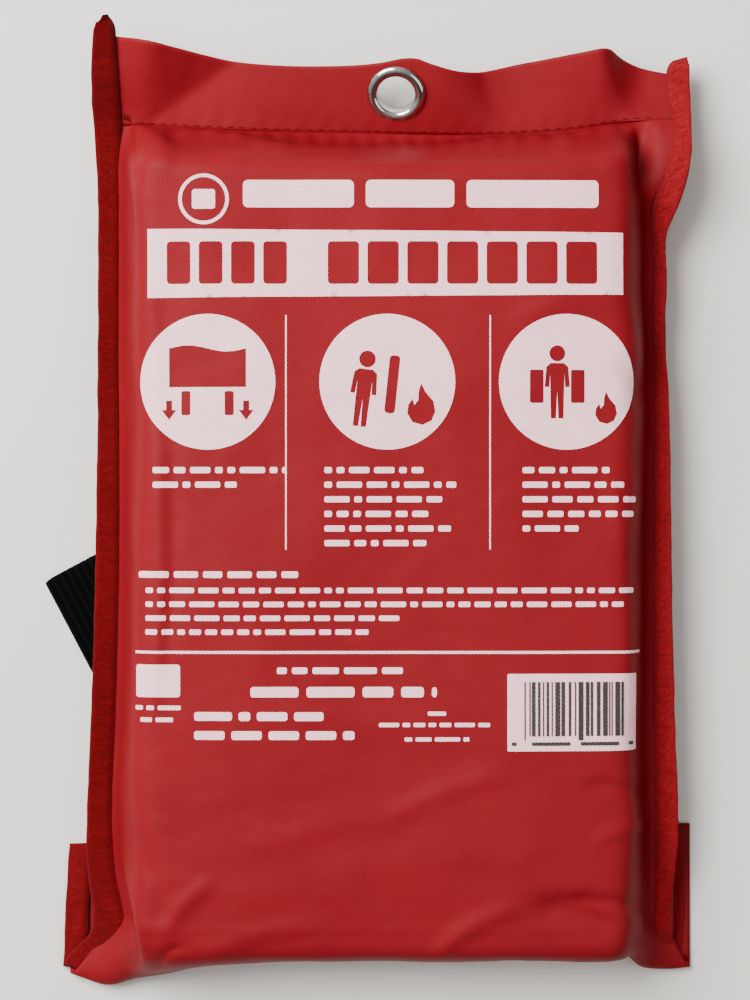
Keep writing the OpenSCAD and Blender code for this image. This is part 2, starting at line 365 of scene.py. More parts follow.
def floor_material():
    n = Nodes("floor")
    fine = n.noise(n.place(), 500.0, 3.0)
    return n.set(color=n.mix(fine, (0.70, 0.68, 0.64), (0.73, 0.71, 0.67)), rough=0.75)


CLOTH = cloth_material()
TAPE = tape_material()
WEBBING = webbing_material()
GLASS = glass_cloth_material()
WHITE_INK = ink_material("white_ink", (0.97, 0.60, 0.65), (0.72, 0.22, 0.26), 0.5)
DARK_INK = ink_material("dark_ink", (0.012, 0.011, 0.013), (0.10, 0.07, 0.07), 0.5)
METAL = metal_material()
# The red thread is painted darker than the cloth: its red is its own, and the extra darkness is painted shade of the
# stitch groove
THREAD = thread_material("thread", (0.055, 0.001, 0.002), (0.14, 0.003, 0.005))
DARK_THREAD = thread_material("strap_thread", (0.006, 0.006, 0.007), (0.03, 0.03, 0.032))
CLOSURE = closure_material()


# ---------------------------------------------------------------- outlines of the pouch, in pouch millimetres
TOP, BODY_END = 112.0, -121.0
LEFT_OUTER = [(-130, -83.8), (-116, -85.2), (-100, -86.0), (-80, -85.4), (-51, -84.1), (-12, -83.2), (20, -82.8), (60, -82.7), (90, -83.0), (102, -83.6), (112, -84.3), (126, -84.2), (136, -83.0), (141, -82.2)]
LEFT_INNER = [(-130, -73.5), (-121, -74.5), (-106, -77.6), (-91, -78.4), (-68, -77.4), (-39, -76.6), (-19, -76.1), (20, -76.3), (60, -76.5), (100, -76.4), (125, -76.7), (141, -77.4)]
RIGHT_INNER = [(-130, 79.5), (-116, 80.0), (-57, 79.6), (2, 79.6), (25, 80.0), (59, 79.8), (74, 79.7), (85, 78.8), (93, 81.0), (101, 83.6), (112, 85.4), (117, 84.0), (131, 83.8)]
RIGHT_OUTER = [(-130, 85.7), (-107, 85.4), (-102, 85.8), (-57, 85.0), (-28, 84.2), (25, 83.6), (36, 83.2), (47, 82.3), (65, 82.9), (80, 83.2), (86, 85.6), (97, 88.7), (107, 89.8), (117, 89.9), (131, 89.9)]
LEFT_SEAM_Z = [(-136, 3.0), (-128, 5.0), (-118, 6.6), (-95, 8.6), (-60, 9.8), (20, 9.4), (60, 8.2), (90, 6.6), (112, 6.2),
               (126, 13.5), (141, 19.0)]
RIGHT_SEAM_Z = [(-136, 3.0), (-128, 5.0), (-118, 6.6), (-95, 8.8), (-60, 10.2), (20, 10.0), (60, 9.4), (78, 10.6), (92, 14.0),
                (103, 13.2), (112, 9.4), (120, 7.2), (131, 6.4)]
STITCH_Y = [(-84, 112.4), (-68, 111.4), (-49, 110.3), (5, 109.0), (31, 108.7), (57, 110.3), (71, 112.4), (88, 112.6)]
HEADER_TOP = [(-84, 136.6), (-77, 135.4), (-60, 131.9), (-43, 128.9), (-18, 127.4), (0, 128.0), (7, 129.1), (10, 129.0),
              (14, 127.6), (20, 126.0), (42, 128.7), (60, 131.5), (64.6, 132.1), (66.4, 132.1), (69, 130.7), (83, 126.6), (90, 126.0)]
HEADER_LIFT = [(-84, 4.6), (-60, 4.6), (-45, 5.0), (-30, 5.8), (-12, 7.6), (3, 9.6), (12, 9.8), (20, 8.6), (25, 6.4), (29, 4.2),
               (34, 3.8), (44, 5.0), (57, 7.4), (65, 9.2), (70, 6.2), (78, 2.4), (90, 1.0)]
BOTTOM_Y = [(-95, -136.0), (-88, -138.4), (-81, -140.4), (-74, -139.0), (-62, -136.0), (-50, -133.4), (-35, -132.3), (-9, -131.2), (34, -131.1), (58, -131.0), (67, -130.4), (72, -131.2), (76, -134.6), (84, -135.9), (93, -135.2)]
BOTTOM_Z = [(-95, 1.8), (-80, 2.2), (-66, 4.0), (-45, 10.0), (-20, 14.0), (50, 14.0), (64, 9.0), (72, 4.0), (80, 2.2), (93, 1.8)]


def line_of(table):
    return lambda at: curve(table, at)[..., 0]


left_outer, left_inner = line_of(LEFT_OUTER), line_of(LEFT_INNER)
right_inner, right_outer = line_of(RIGHT_INNER), line_of(RIGHT_OUTER)
left_seam_z, right_seam_z = line_of(LEFT_SEAM_Z), line_of(RIGHT_SEAM_Z)
stitch_y, header_top, header_lift = (line_of(t) for t in (STITCH_Y, HEADER_TOP, HEADER_LIFT))
bottom_y, bottom_z = line_of(BOTTOM_Y), line_of(BOTTOM_Z)

# Creases: start, end, height (a valley is below zero) and width
CREASES = [
    ((-76, 114), (-62, 100), 1.5, 3.2), ((-74, 108), (-70, 92), -0.9, 2.4), ((-60, 108), (-30, 103), 0.7, 2.2),
    ((-20, 104), (28, 106), -0.5, 2.0), ((-42, 101), (-8, 103), 0.5, 2.0), ((20, 103), (54, 106), 0.6, 2.4),
    ((71, 112), (73, 92), 0.8, 1.8), ((52, 103), (68, 111), 0.8, 2.6), ((-78, -104), (-71, -127), -1.0, 1.6),
    ((-72.6, -106), (-68, -130), 0.9, 1.8), ((-63.8, -131.5), (-58, -126), -0.8, 1.1), ((-76, 96), (-72, 78), -0.5, 1.6),
    ((-64, 12), (-65, -56), 0.55, 2.2), ((-60, 20), (-61, -40), -0.35, 2.4), ((4, -88), (32, -77), 0.5, 3.0),
    ((-40, -98), (2, -88), 0.35, 4.0), ((16, -127), (36, -115), 0.8, 2.6), ((46, -114), (66, -121), -1.5, 4.0),
    ((60, -80), (75, -83), -0.6, 1.8), ((54, -112), (75, -116), -0.8, 2.0), ((62, -95), (76, -92), 0.5, 2.2),
    ((68, 40), (73, 30), -0.8, 2.6), ((-62, -122), (-50, -108), 0.7, 2.4), ((-70, -95), (-62, -118), -0.6, 2.6),
    ((-52, -128), (-20, -119), 0.5, 3.0), ((-30, -60), (18, -66), 0.25, 4.0), ((40, 54), (66, 60), 0.35, 3.0),
    ((-68, 66), (-64, 30), 0.4, 2.6), ((66, 4), (70, -40), 0.35, 2.2), ((-10, -104), (48, -98), 0.3, 5.0),
]


def creases(x, y):
    rise = np.zeros_like(x)
    for (ax, ay), (bx, by), height, width in CREASES:
        ux, uy = bx - ax, by - ay
        length = math.hypot(ux, uy)
        along = ((x - ax) * ux + (y - ay) * uy) / length
        side = ((x - ax) * uy - (y - ay) * ux) / length
        bend = side + 1.2 * np.sin(along / length * math.pi)
        ends = smooth((along + 0.3 * length) / (0.5 * length)) * smooth((1.3 * length - along) / (0.5 * length))
        rise += height * np.exp(-((bend / width) ** 2)) * ends
    return rise


def section(rows, columns, fine=420, soft=21):
    """Sections across the pouch: control points (rows, k, 2) in x and z, rounded and spaced evenly."""
    out = np.zeros((len(rows), columns, 2))
    reach = np.zeros((len(rows), columns))
    kernel = np.hanning(2 * soft + 1)
    kernel /= kernel.sum()
    for i, control in enumerate(rows):
        steps = np.hypot(*np.diff(control, axis=0).T)
        total = np.concatenate([[0], np.cumsum(steps)])
        at = np.linspace(0, total[-1], fine)
        line = np.stack([np.interp(at, total, control[:, k]) for k in (0, 1)], axis=1)
        padded = np.concatenate([2 * line[0] - line[soft:0:-1], line, 2 * line[-1] - line[-2:-soft - 2:-1]])
        line = np.stack([np.convolve(padded[:, k], kernel, mode="valid") for k in (0, 1)], axis=1)
        steps = np.concatenate([[0], np.cumsum(np.hypot(*np.diff(line, axis=0).T))])
        even = np.linspace(0, steps[-1], columns)
        out[i] = np.stack([np.interp(even, steps, line[:, k]) for k in (0, 1)], axis=1)
        reach[i] = even - steps[-1] / 2
    return out, reach


def normals(p):
    du = np.gradient(p, axis=1)
    dv = np.gradient(p, axis=0)
    n = np.cross(dv, du)
    n /= np.linalg.norm(n, axis=-1, keepdims=True) + 1e-9
    return n if n[..., 2].mean() > 0 else -n


COLUMNS = 156
STITCH_Z = 7.5
FRONT_ROWS = 190


def body_front():
    """The front cloth from the header's stitch line to the mouth end, as a grid of points."""
    fine = np.linspace(0, 1, 600)
    drop = fine * (stitch_y(0.0) - BODY_END)
    rise = smooth(drop / 15.0) ** 0.75
    arc = np.concatenate([[0], np.cumsum(np.hypot(np.diff(drop), np.diff(rise * 26)))])
    even = np.linspace(0, arc[-1], FRONT_ROWS)
    share = np.interp(even, arc, fine)
    lift = np.interp(even, arc, rise)
    y0 = stitch_y(0.0) + (BODY_END - stitch_y(0.0)) * share
    zl, zr = left_seam_z(y0) - 0.5, right_seam_z(y0) - 0.5
    start = STITCH_Z
    top = start + (TOP_Z - 0.9 - start) * lift - 0.9 * smooth((-108 - y0) / 14)
    shoulder = top - (1.0 + 0.5 * np.sin(y0 / 19.0)) * lift
    left_edge = -69.6 + 0.9 * np.sin(y0 / 23.0 + 1.0) + 0.6 * np.sin(y0 / 9.0)
    right_edge = 70.8 + 0.7 * np.sin(y0 / 17.0) + 0.5 * np.sin(y0 / 7.0 + 2.0)
    ear = np.exp(-((y0 - 99.0) / 12.0) ** 4)
    valley = (shoulder + zr) / 2 * (1 - ear) + np.minimum(6.5, shoulder) * ear
    left, right = left_inner(y0) - 3.0, right_inner(y0) + 3.0
    rows = np.stack([
        np.stack([left, zl], 1), np.stack([left + 3.6, zl + 0.8 * lift], 1),
        np.stack([left_edge, shoulder], 1), np.stack([np.full_like(y0, -40.0), top + 0.5 * lift], 1),
        np.stack([np.full_like(y0, 40.0), top + 0.5 * lift], 1), np.stack([right_edge, shoulder], 1),
        np.stack([74.4 - 1.2 * ear, valley], 1), np.stack([right - 6.4 + 2.0 * ear, zr + 0.8], 1), np.stack([right, zr], 1)], axis=1)
    line, reach = section(rows, COLUMNS)
    x, z = line[..., 0], line[..., 1]
    y = stitch_y(x) + (BODY_END - stitch_y(x)) * share[:, None]
    p = np.stack([x, y, z], axis=-1)
    flat = np.stack([reach, np.broadcast_to(even[:, None], reach.shape)], axis=-1)
    return p, flat


def dress(p, top_row=False, bottom=True):
    """Creases, puckers and soft unevenness of the cloth, fading at the seams."""
    x, y = p[..., 0], p[..., 1]
    n = normals(p)
    side = np.minimum(x - left_inner(y), right_inner(y) - x)
    mask = smooth(side / 5.0)
    rise = creases(x, y) * 1.15
    rise += waves(p, 34.0) * 0.9 + waves(p, 14.0, 5.0) * 0.32 + waves(p * (1, 2.2, 1), 7.0, 9.0) * 0.10
    if top_row:
        near = np.exp(-((stitch_y(x) - y) / 5.0) ** 2)
        pucker = np.sin(x / 6.4 * 2 * math.pi + 2.2 * np.sin(x / 17.0))
        mask = mask * smooth((stitch_y(x) - y) / 3.0)
        rise = rise + 0.35 * pucker * near
    return p + n * (rise * mask)[..., None]


FRONT_P, FRONT_FLAT = body_front()
END_ROWS = 34


def end_cloth(edge, edge_flat):
    """From the front cloth's last row over the mouth end and down to the fold under the pouch."""
    x0, z0 = edge[:, 0], edge[:, 2]
    span = np.linspace(-92.0, 91.0, len(x0))
    away = smooth((np.abs(span) - 60) / 26)
    x2 = x0 + (span - x0) * (0.25 + 0.75 * away)
    yb, zb = bottom_y(x2), bottom_z(x2)
    x1 = x0 + (x2 - x0) * 0.35
    y1 = -128.0 + 0.6 * away
    z1 = z0 * (1 - 0.22 * away) - 1.6 * (1 - away)
    points = np.stack([
        np.stack([x0, edge[:, 1], z0], 1), np.stack([x1, y1, z1], 1),
        np.stack([x2, yb - 0.7 * (1 - away), zb], 1),
        np.stack([x2 + (span - x2) * 0.8, yb + 0.9 - 2.8 * (1 - away), np.full_like(x0, 1.3)], 1)], axis=0)
    length = np.linalg.norm(np.diff(points, axis=0), axis=2)
    knots = np.concatenate([np.zeros((1, len(x0))), np.cumsum(length, axis=0)])
    p = np.zeros((END_ROWS, len(x0), 3))
    flat = np.zeros((END_ROWS, len(x0), 2))
    share = np.linspace(0, 1, END_ROWS)
    for j in range(len(x0)):
        table = np.concatenate([knots[:, j:j + 1], points[:, j]], axis=1)
        p[:, j] = curve(table, share * knots[-1, j])
        flat[:, j, 0] = edge_flat[j, 0]
        flat[:, j, 1] = edge_flat[j, 1] + share * knots[-1, j]
    p[0] = edge
    p[..., 2] = np.maximum(p[..., 2], 0.9)
    return p, flat


def lip_cloth(edge, edge_flat):
    """Folded back under the pouch, flat on the surface."""
    rows = 18
    share = np.linspace(0, 1, rows)[:, None]
    end = np.interp(edge[:, 0], [-92, 90], [-100.0, -94.0])
    p = np.zeros((rows, len(edge), 3))
    p[..., 0] = edge[:, 0]
    p[..., 1] = edge[:, 1] + (end - edge[:, 1]) * share
    p[..., 2] = edge[:, 2] + (1.0 - edge[:, 2]) * smooth(share / 0.15)
    flat = np.zeros((rows, len(edge), 2))
    flat[..., 0] = edge_flat[:, 0]
    flat[..., 1] = edge_flat[:, 1] + (p[..., 1] - edge[:, 1])
    return p, flat


WHOLE, WHOLE_FLAT = end_cloth(FRONT_P[-1], FRONT_FLAT[-1])
joined = dress(np.concatenate([FRONT_P, WHOLE[1:]]), top_row=True)
joined[..., 2] = np.maximum(joined[..., 2], 0.9)
END_P = joined[FRONT_ROWS - 1:]
LIP_P, LIP_FLAT = lip_cloth(END_P[-1], WHOLE_FLAT[-1])
CLOTH_T = 0.35

WHOLE_FLAT = np.concatenate([FRONT_FLAT, WHOLE_FLAT[1:]])
front = thicken(grid("front_cloth", joined, WHOLE_FLAT, CLOTH), CLOTH_T)
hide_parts("front_panel", "flap_end")
lip_piece = thicken(grid("flap_lip_cloth", LIP_P, LIP_FLAT, CLOTH), CLOTH_T)
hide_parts("flap_lip")

FRONT_TREE = BVHTree.FromPolygons([v.co for v in front.data.vertices], [p.vertices for p in front.data.polygons])


def m(x, y, z):
    """A place in the row frame, in metres, from pouch millimetres."""
    return tuple(world((x, y, z)))


def joint_place(name):
    joint = next(j for j in frame["record"]["behaviour"]["joints"] if j["name"] == name)
    return Vector(joint["pos_m"])


# ---------------------------------------------------------------- rear cloth, lifted over the folded flap
def rear_cloth():
    ys = np.linspace(BODY_END - 6.0, HEADER_Y + 1.0, 130)
    across = np.linspace(0, 1, 60)
    left, right = left_inner(ys) - 3.0, right_inner(ys) + 3.0
    x = left[:, None] + (right - left)[:, None] * across
    low = 0.9 + 4.9 * smooth((36 - ys) / 24) + (STITCH_Z - 2.4) * smooth((ys - 90) / 20)
    side = np.minimum(across, 1 - across) * 2
    seam = np.where(across < 0.5, left_seam_z(ys)[:, None], right_seam_z(ys)[:, None]) - 0.6
    z = low[:, None] + (seam - low[:, None]) * (1 - smooth(side / 0.22))
    p = np.stack([x, np.broadcast_to(ys[:, None], x.shape), z], axis=-1)
    p[..., 2] += waves(p, 26.0, 3.0) * 0.3 * smooth(side / 0.3)
    p[..., 2] = np.maximum(p[..., 2], low[:, None] - 0.2)
    return p


REAR_P = rear_cloth()
rear = thicken(grid("rear_cloth", REAR_P, REAR_P[..., :2], CLOTH, "pouch"), CLOTH_T, offset=1.0)
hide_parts("rear_panel")


# The header's upper left corner turns up beyond a slanting line through this place
FACET_X, FACET_Y = -43.8, 128.8


def header_point(x, t, side=0.0):
    """A point on the header band; t runs from its stitch line, 0, to its folded top edge, 1."""
    y = stitch_y(x) + (header_top(x) - stitch_y(x)) * t
    base = 6.6 + (STITCH_Z - 6.4) * np.clip(1 - t, 0, 1.1) ** 1.4 + 0.3 * np.sin(x / 9.0)
    seam = np.where(x < 0, left_seam_z(y), right_seam_z(y)) - 0.4
    edge = smooth((np.abs(x) - 63) / 15)
    slant = 6.0 * (1 - t) * smooth((x - 8) / 12)
    z = base + header_lift(x - slant) * (1.25 * t - 0.25 * t * t)
    turned_up = (FACET_X - x) * 0.568 + (y - FACET_Y) * 0.823
    z = z + 0.68 * (turned_up + np.sqrt(turned_up ** 2 + 1.0)) / 2
    z = z + (seam - z) * edge
    return np.stack([x, y, z + side], axis=-1)


def header_cloth():
    """The band's front and rear layers in one strip, folded over the top edge."""
    columns = 170
    share = np.linspace(0, 1, columns)
    rows = 26
    up = np.linspace(-0.02, 1, rows)
    out = []
    for t, side in [(t, 0.45) for t in up] + [(1.012, 0.0)] + [(t, -1.0) for t in up[::-1]]:
        y = stitch_y(0.0) + (header_top(0.0) - stitch_y(0.0)) * t
        left, right = left_inner(y) - 2.5, right_inner(y) + 2.5
        x = left + (right - left) * share
        out.append(header_point(x, np.full_like(x, t), side))
    p = np.array(out)
    n = normals(p[:rows])
    wave = waves(p[:rows], 15.0, 2.0) * 0.28 + waves(p[:rows], 6.0, 4.0) * 0.06
    fade = smooth(up / 0.2)[:, None]
    pucker = 0.22 * np.sin(p[:rows, :, 0] / 6.4 * 2 * math.pi) * np.exp(-(up[:, None] / 0.16) ** 2) * fade
    p[:rows] += n * (wave * fade + pucker)[..., None]
    reach = np.concatenate([[0], np.cumsum(np.linalg.norm(np.diff(p[:, columns // 2], axis=0), axis=1))])
    flat = np.stack([p[..., 0], np.broadcast_to(reach[:, None], p.shape[:2])], axis=-1)
    return p, flat


EYE_X, EYE_Y = 4.2, 119.7
EYE_T = float((EYE_Y - stitch_y(EYE_X)) / (header_top(EYE_X) - stitch_y(EYE_X)))
EYE = header_point(np.array(EYE_X), np.array(EYE_T))
EYE_RIGHT = header_point(np.array(EYE_X + 3), np.array(EYE_T)) - header_point(np.array(EYE_X - 3), np.array(EYE_T))
EYE_UP = header_point(np.array(EYE_X), np.array(EYE_T + 0.2)) - header_point(np.array(EYE_X), np.array(EYE_T - 0.2))
EYE_AXIS = np.cross(EYE_RIGHT, EYE_UP)
EYE_AXIS /= np.linalg.norm(EYE_AXIS)
EYE_AXIS = EYE_AXIS + np.array([-0.06, -0.16, 0.0])
EYE_AXIS /= np.linalg.norm(EYE_AXIS)


def in_eyelet(p):
    away = p - EYE
    radial = away - (away @ EYE_AXIS)[:, None] * EYE_AXIS
    return np.linalg.norm(radial, axis=1) < 6.6


HEADER_P, HEADER_FLAT = header_cloth()
header = grid("header_cloth", HEADER_P, HEADER_FLAT, CLOTH, "pouch", drop=in_eyelet)
header = thicken(header, CLOTH_T)
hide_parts("header_band")
HEADER_TREE = BVHTree.FromPolygons([v.co for v in header.data.vertices], [p.vertices for p in header.data.polygons])


# ---------------------------------------------------------------- eyelet
def lathe(name, profile, body, material, turns=96, wrap=False):
    """A ring turned about the eyelet's axis from points (radius, height)."""
    axis = Vector(EYE_AXIS)
    across = axis.cross(Vector((0, 1, 0))).normalized()
    other = axis.cross(across)
    angle = np.linspace(0, 2 * math.pi, turns, endpoint=False)
    ring = np.cos(angle)[:, None] * np.array(across) + np.sin(angle)[:, None] * np.array(other)
    r, h = np.asarray(profile, float).T
    p = EYE + r[:, None, None] * ring[None] + h[:, None, None] * np.array(axis)
    if wrap:
        p = np.concatenate([p, p[:1]])
    flat = np.zeros((*p.shape[:2], 2))
    ob = grid(name, p, flat, material, body, wrap=True)
    if wrap:
        bm = bmesh.new()
        bm.from_mesh(ob.data)
        bmesh.ops.remove_doubles(bm, verts=bm.verts, dist=1e-6)
        bmesh.ops.recalc_face_normals(bm, faces=bm.faces)
        bm.to_mesh(ob.data)
        bm.free()
    return ob


def rim_profile():
    """Rolled rim over the front, with a shallow groove before the barrel."""
    roll = [(7.0 + 1.5 * math.cos(a), 0.75 + 0.95 * math.sin(a)) for a in np.linspace(-1.3, math.pi * 0.94, 22)]
    return roll + [(5.52, 0.72), (5.42, 0.2), (5.40, -0.8), (5.44, -2.9), (5.7, -3.4), (6.1, -3.0), (6.0, 0.2), (6.9, -0.2)]


eyelet = lathe("eyelet_rim", rim_profile(), "pouch", METAL, wrap=True)
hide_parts("eyelet_barrel")
washer = lathe("eyelet_rear_ring", [(6.1, -1.5), (7.6, -1.5), (8.3, -1.7), (8.5, -2.0), (8.2, -2.25), (7.2, -2.4), (6.2, -2.6), (5.9, -2.2)], "pouch", METAL, wrap=True)
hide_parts("eyelet_washer")


# ---------------------------------------------------------------- edge tapes
def tape_strip(name, rows, body=None):
    """A soft folded tape: rows are (inner, outer, y, z, thickness) across the seam, closed at both ends."""
    around = 22
    p = []
    for inner, outer, z, thick, curl in rows:
        inner, outer = np.asarray(inner, float), np.asarray(outer, float)
        ring = []
        for k in range(around):
            a = 2 * math.pi * k / around
            c, s = math.cos(a), math.sin(a)
            across = 0.5 + 0.5 * np.sign(c) * abs(c) ** 0.55
            rise = np.sign(s) * abs(s) ** 0.5 * thick / 2
            if s > 0:
                rise += 0.55 * math.exp(-(((1 - across) - 0.75) / 0.17) ** 2) * thick / 2.4
            place = outer + (inner - outer) * (1 - across)
            ring.append((place[0], place[1], z + rise + curl * across))
        p.append(ring)
    p = np.array(p)
    soft = waves(p, 6.0, 1.0) * 0.22 + waves(p, 3.0, 7.0) * 0.06 + waves(p * (1, 0.4, 1), 12.0, 3.0) * 0.3
    middle = p.mean(axis=1, keepdims=True)
    out = p - middle
    out /= np.linalg.norm(out, axis=-1, keepdims=True) + 1e-9
    p = p + out * soft[..., None]
    p[..., 2] = np.maximum(p[..., 2], 0.05)
    path = p.mean(axis=1)
    run = np.concatenate([[0], np.cumsum(np.linalg.norm(np.diff(path, axis=0), axis=1))])
    girth = np.linspace(0, 15, around)
    flat = np.stack([np.broadcast_to(girth, p.shape[:2]), np.broadcast_to(run[:, None], p.shape[:2])], axis=-1)
    ob = grid(name, p, flat, TAPE, body, wrap=True)
    bm = bmesh.new()
    bm.from_mesh(ob.data)
    bmesh.ops.holes_fill(bm, edges=[e for e in bm.edges if e.is_boundary])
    bmesh.ops.recalc_face_normals(bm, faces=bm.faces)
    bm.to_mesh(ob.data)
    bm.free()
    return ob


def side_tape(side, top):
    inner_at, outer_at = (left_inner, left_outer) if side < 0 else (right_inner, right_outer)
    rows = []
    for y in np.concatenate([np.arange(BODY_END, top - 5.0, 1.25), np.linspace(top - 4.6, top, 9)]):
        inner, outer = float(inner_at(y)), float(outer_at(y))
        close = 0.35 + 0.65 * float(smooth((top - y) / 2.5))
        near_tip = max(0.0, 1 - (top - y) / 4.6)
        outer -= side * (4.4 if side < 0 else 1.0) * (1 - math.sqrt(1 - near_tip ** 2 * 0.96))
        inner += side * 1.6 * near_tip ** 3
        frayed = 0.7 * math.sin(y * 3.1) * near_tip
        seam = float((left_seam_z if side < 0 else right_seam_z)(y))
        rows.append(((inner - side * 0.4, y), (outer, y + frayed), seam, 2.6 * close, 3.6 * float(smooth((y - BODY_END) / 25))))
    return rows


def corner_tape(side):
    """Along the side edge of the end cloth, out to the corner of the fold."""
    start_in = float((left_inner if side < 0 else right_inner)(BODY_END)) - side * 0.4
    start_out = float((left_outer if side < 0 else right_outer)(BODY_END))
    corner_y = -136.6 if side < 0 else -135.9
    corner_in, corner_out = (-80.5, -93.6) if side < 0 else (79.6, 86.6)
    rows = []
    for t in np.linspace(0, 1, 14):
        ease = float(smooth(t))
        y = BODY_END + (corner_y - BODY_END) * t
        tuck = (3.0 if side < 0 else 0.0) * ease
        inner = (start_in + (corner_in - start_in) * ease ** 1.6, y - tuck)
        outer = (start_out + (corner_out - start_out) * ease ** 1.6, y + tuck * 0.4)
        rows.append((inner, outer, float(left_seam_z(BODY_END)) * (1 - ease) + 1.9 * ease, 2.6 - 0.9 * ease, 0.0))
    return rows


EDGE_TAPES = {}
for side, word in ((-1, "left"), (1, "right")):
    rows = corner_tape(side)[:0:-1] + side_tape(side, 140.8 if side < 0 else 130.2)
    piece = EDGE_TAPES[side] = tape_strip("edge_tape_" + word, rows)
    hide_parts("side_binding_" + word, "end_binding_" + word)
    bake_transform(piece)
    edge = [(-92.3, -100.0), (-94.2, -136.2)] if side < 0 else [(87.4, -91.8), (87.9, -135.4)]
    rows = []
    for t in np.linspace(0, 1, 32):
        x = edge[0][0] + (edge[1][0] - edge[0][0]) * t + (0 if side < 0 else 1.5 * math.sin(t * math.pi))
        y = edge[0][1] + (edge[1][1] - edge[0][1]) * t
        rows.append(((x - side * 7.0, y), (x, y), 1.15, 1.9, 0.0))
    piece = tape_strip("lip_tape_" + word, rows)
    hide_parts("lip_binding_" + word)
    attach(piece, "flap_lip")

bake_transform(front)
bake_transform(lip_piece)


# ---------------------------------------------------------------- stitches
def stitches(name, places, body, material, radius=0.2, length=2.4):
    """Short rounded threads: each place is (centre, direction) in pouch millimetres."""
    verts, faces = [], []
    sides, rings = 6, ((-0.5, 0.25), (-0.42, 0.8), (-0.15, 1.0), (0.15, 1.0), (0.42, 0.8), (0.5, 0.25))
    for centre, direction in places:
        along = Vector(direction).normalized()
        across = along.cross(Vector((0.0, 0.0, 1.0)) if abs(along.z) < 0.9 else Vector((1.0, 0.0, 0.0))).normalized()
        up = along.cross(across)
        base = len(verts)
        for k, (t, grow) in enumerate(rings):
            for i in range(sides):
                a = 2 * math.pi * i / sides
                sink = -0.5 * radius * (abs(t) * 2) ** 3
                v = Vector(centre) + along * t * length + (across * math.cos(a) + up * math.sin(a)) * radius * grow
                verts.append((v.x, v.y, v.z + sink))
        for k in range(len(rings) - 1):
            for i in range(sides):
                j = (i + 1) % sides
                faces.append((base + k * sides + i, base + k * sides + j, base + (k + 1) * sides + j, base + (k + 1) * sides + i))
        faces.append(tuple(base + i for i in range(sides))[::-1])
        faces.append(tuple(base + (len(rings) - 1) * sides + i for i in range(sides)))
    mesh = bpy.data.meshes.new(name)
    mesh.from_pydata(world(np.array(verts)).tolist(), [], faces)
    return finish_object(name, mesh, material, body)


def on_top(tree, x, y, reach=60.0):
    """The height of a piece's top face over pouch place x, y, in millimetres, or None."""
    hit = tree.ray_cast(Vector(m(x, y, reach)), Vector((0, 0, -1)))
    return None if hit[0] is None else hit[0].z / MM


def row_on(tree, line, lift):
    """Stitch places along a line of (x, y) points, lying on a piece's top face."""
    heights = [on_top(tree, x, y) for x, y in line]
    out = []
    for i in range(1, len(line) - 1):
        if None in heights[i - 1:i + 2]:
            continue
        direction = (line[i + 1][0] - line[i - 1][0], line[i + 1][1] - line[i - 1][1], heights[i + 1] - heights[i - 1])
        out.append(((line[i][0], line[i][1], heights[i] + lift), direction))
    return out


def tree_of(ob):
    return BVHTree.FromPolygons([v.co for v in ob.data.vertices], [f.vertices for f in ob.data.polygons])


header_line = [(x, float(stitch_y(x)) + 0.5) for x in np.arange(-74, 84, 3.3)]
bartack = [((-75.4 + 0.45 * i, 114.2 - 0.2 * i, 7.6), (0.15, 1.0, 0.3)) for i in range(5)]
piece = stitches("header_thread", row_on(HEADER_TREE, header_line, -0.02) + bartack, "pouch", THREAD, radius=0.19)
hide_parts("header_stitching")
for side, word in ((-1, "left"), (1, "right")):
    inner = left_inner if side < 0 else right_inner
    line = [(float(inner(y)) + side * 2.6, y) for y in np.arange(BODY_END + 2, 124, 3.6)]
    piece = stitches("tape_thread_" + word, row_on(tree_of(EDGE_TAPES[side]), line, -0.14), "pouch", THREAD, radius=0.2)
    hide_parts("binding_stitching_" + word)


# ---------------------------------------------------------------- printed marks
def box_loop(x0, y0, x1, y1, r=0.0):
    if r <= 0:
        return [(x0, y0), (x1, y0), (x1, y1), (x0, y1)]
    loop = []
    for cx, cy, start in ((x1 - r, y0 + r, -90), (x1 - r, y1 - r, 0), (x0 + r, y1 - r, 90), (x0 + r, y0 + r, 180)):
        loop += [(cx + r * math.cos(math.radians(start + a)), cy + r * math.sin(math.radians(start + a))) for a in range(0, 91, 18)]
    return loop


def circle_loop(x, y, r, turns=72):
    return [(x + r * math.cos(2 * math.pi * i / turns), y + r * math.sin(2 * math.pi * i / turns)) for i in range(turns)]


def shift(loop, x, y, grow=1.0, turn=0.0):
    c, s = math.cos(math.radians(turn)), math.sin(math.radians(turn))
    return [(x + grow * (c * a - s * b), y + grow * (s * a + c * b)) for a, b in loop]


def inside(points, loops):
    """Whether each point is inside an odd number of the loops."""
    odd = np.zeros(len(points), bool)
    px, py = points[:, 0], points[:, 1]
    for loop in loops:
        a = np.asarray(loop, float)
        b = np.roll(a, -1, axis=0)
        for (x0, y0), (x1, y1) in zip(a, b):
            if y0 == y1:
                continue
            crosses = (y0 > py) != (y1 > py)
            odd ^= crosses & (px < (x1 - x0) * (py - y0) / (y1 - y0) + x0)
    return odd


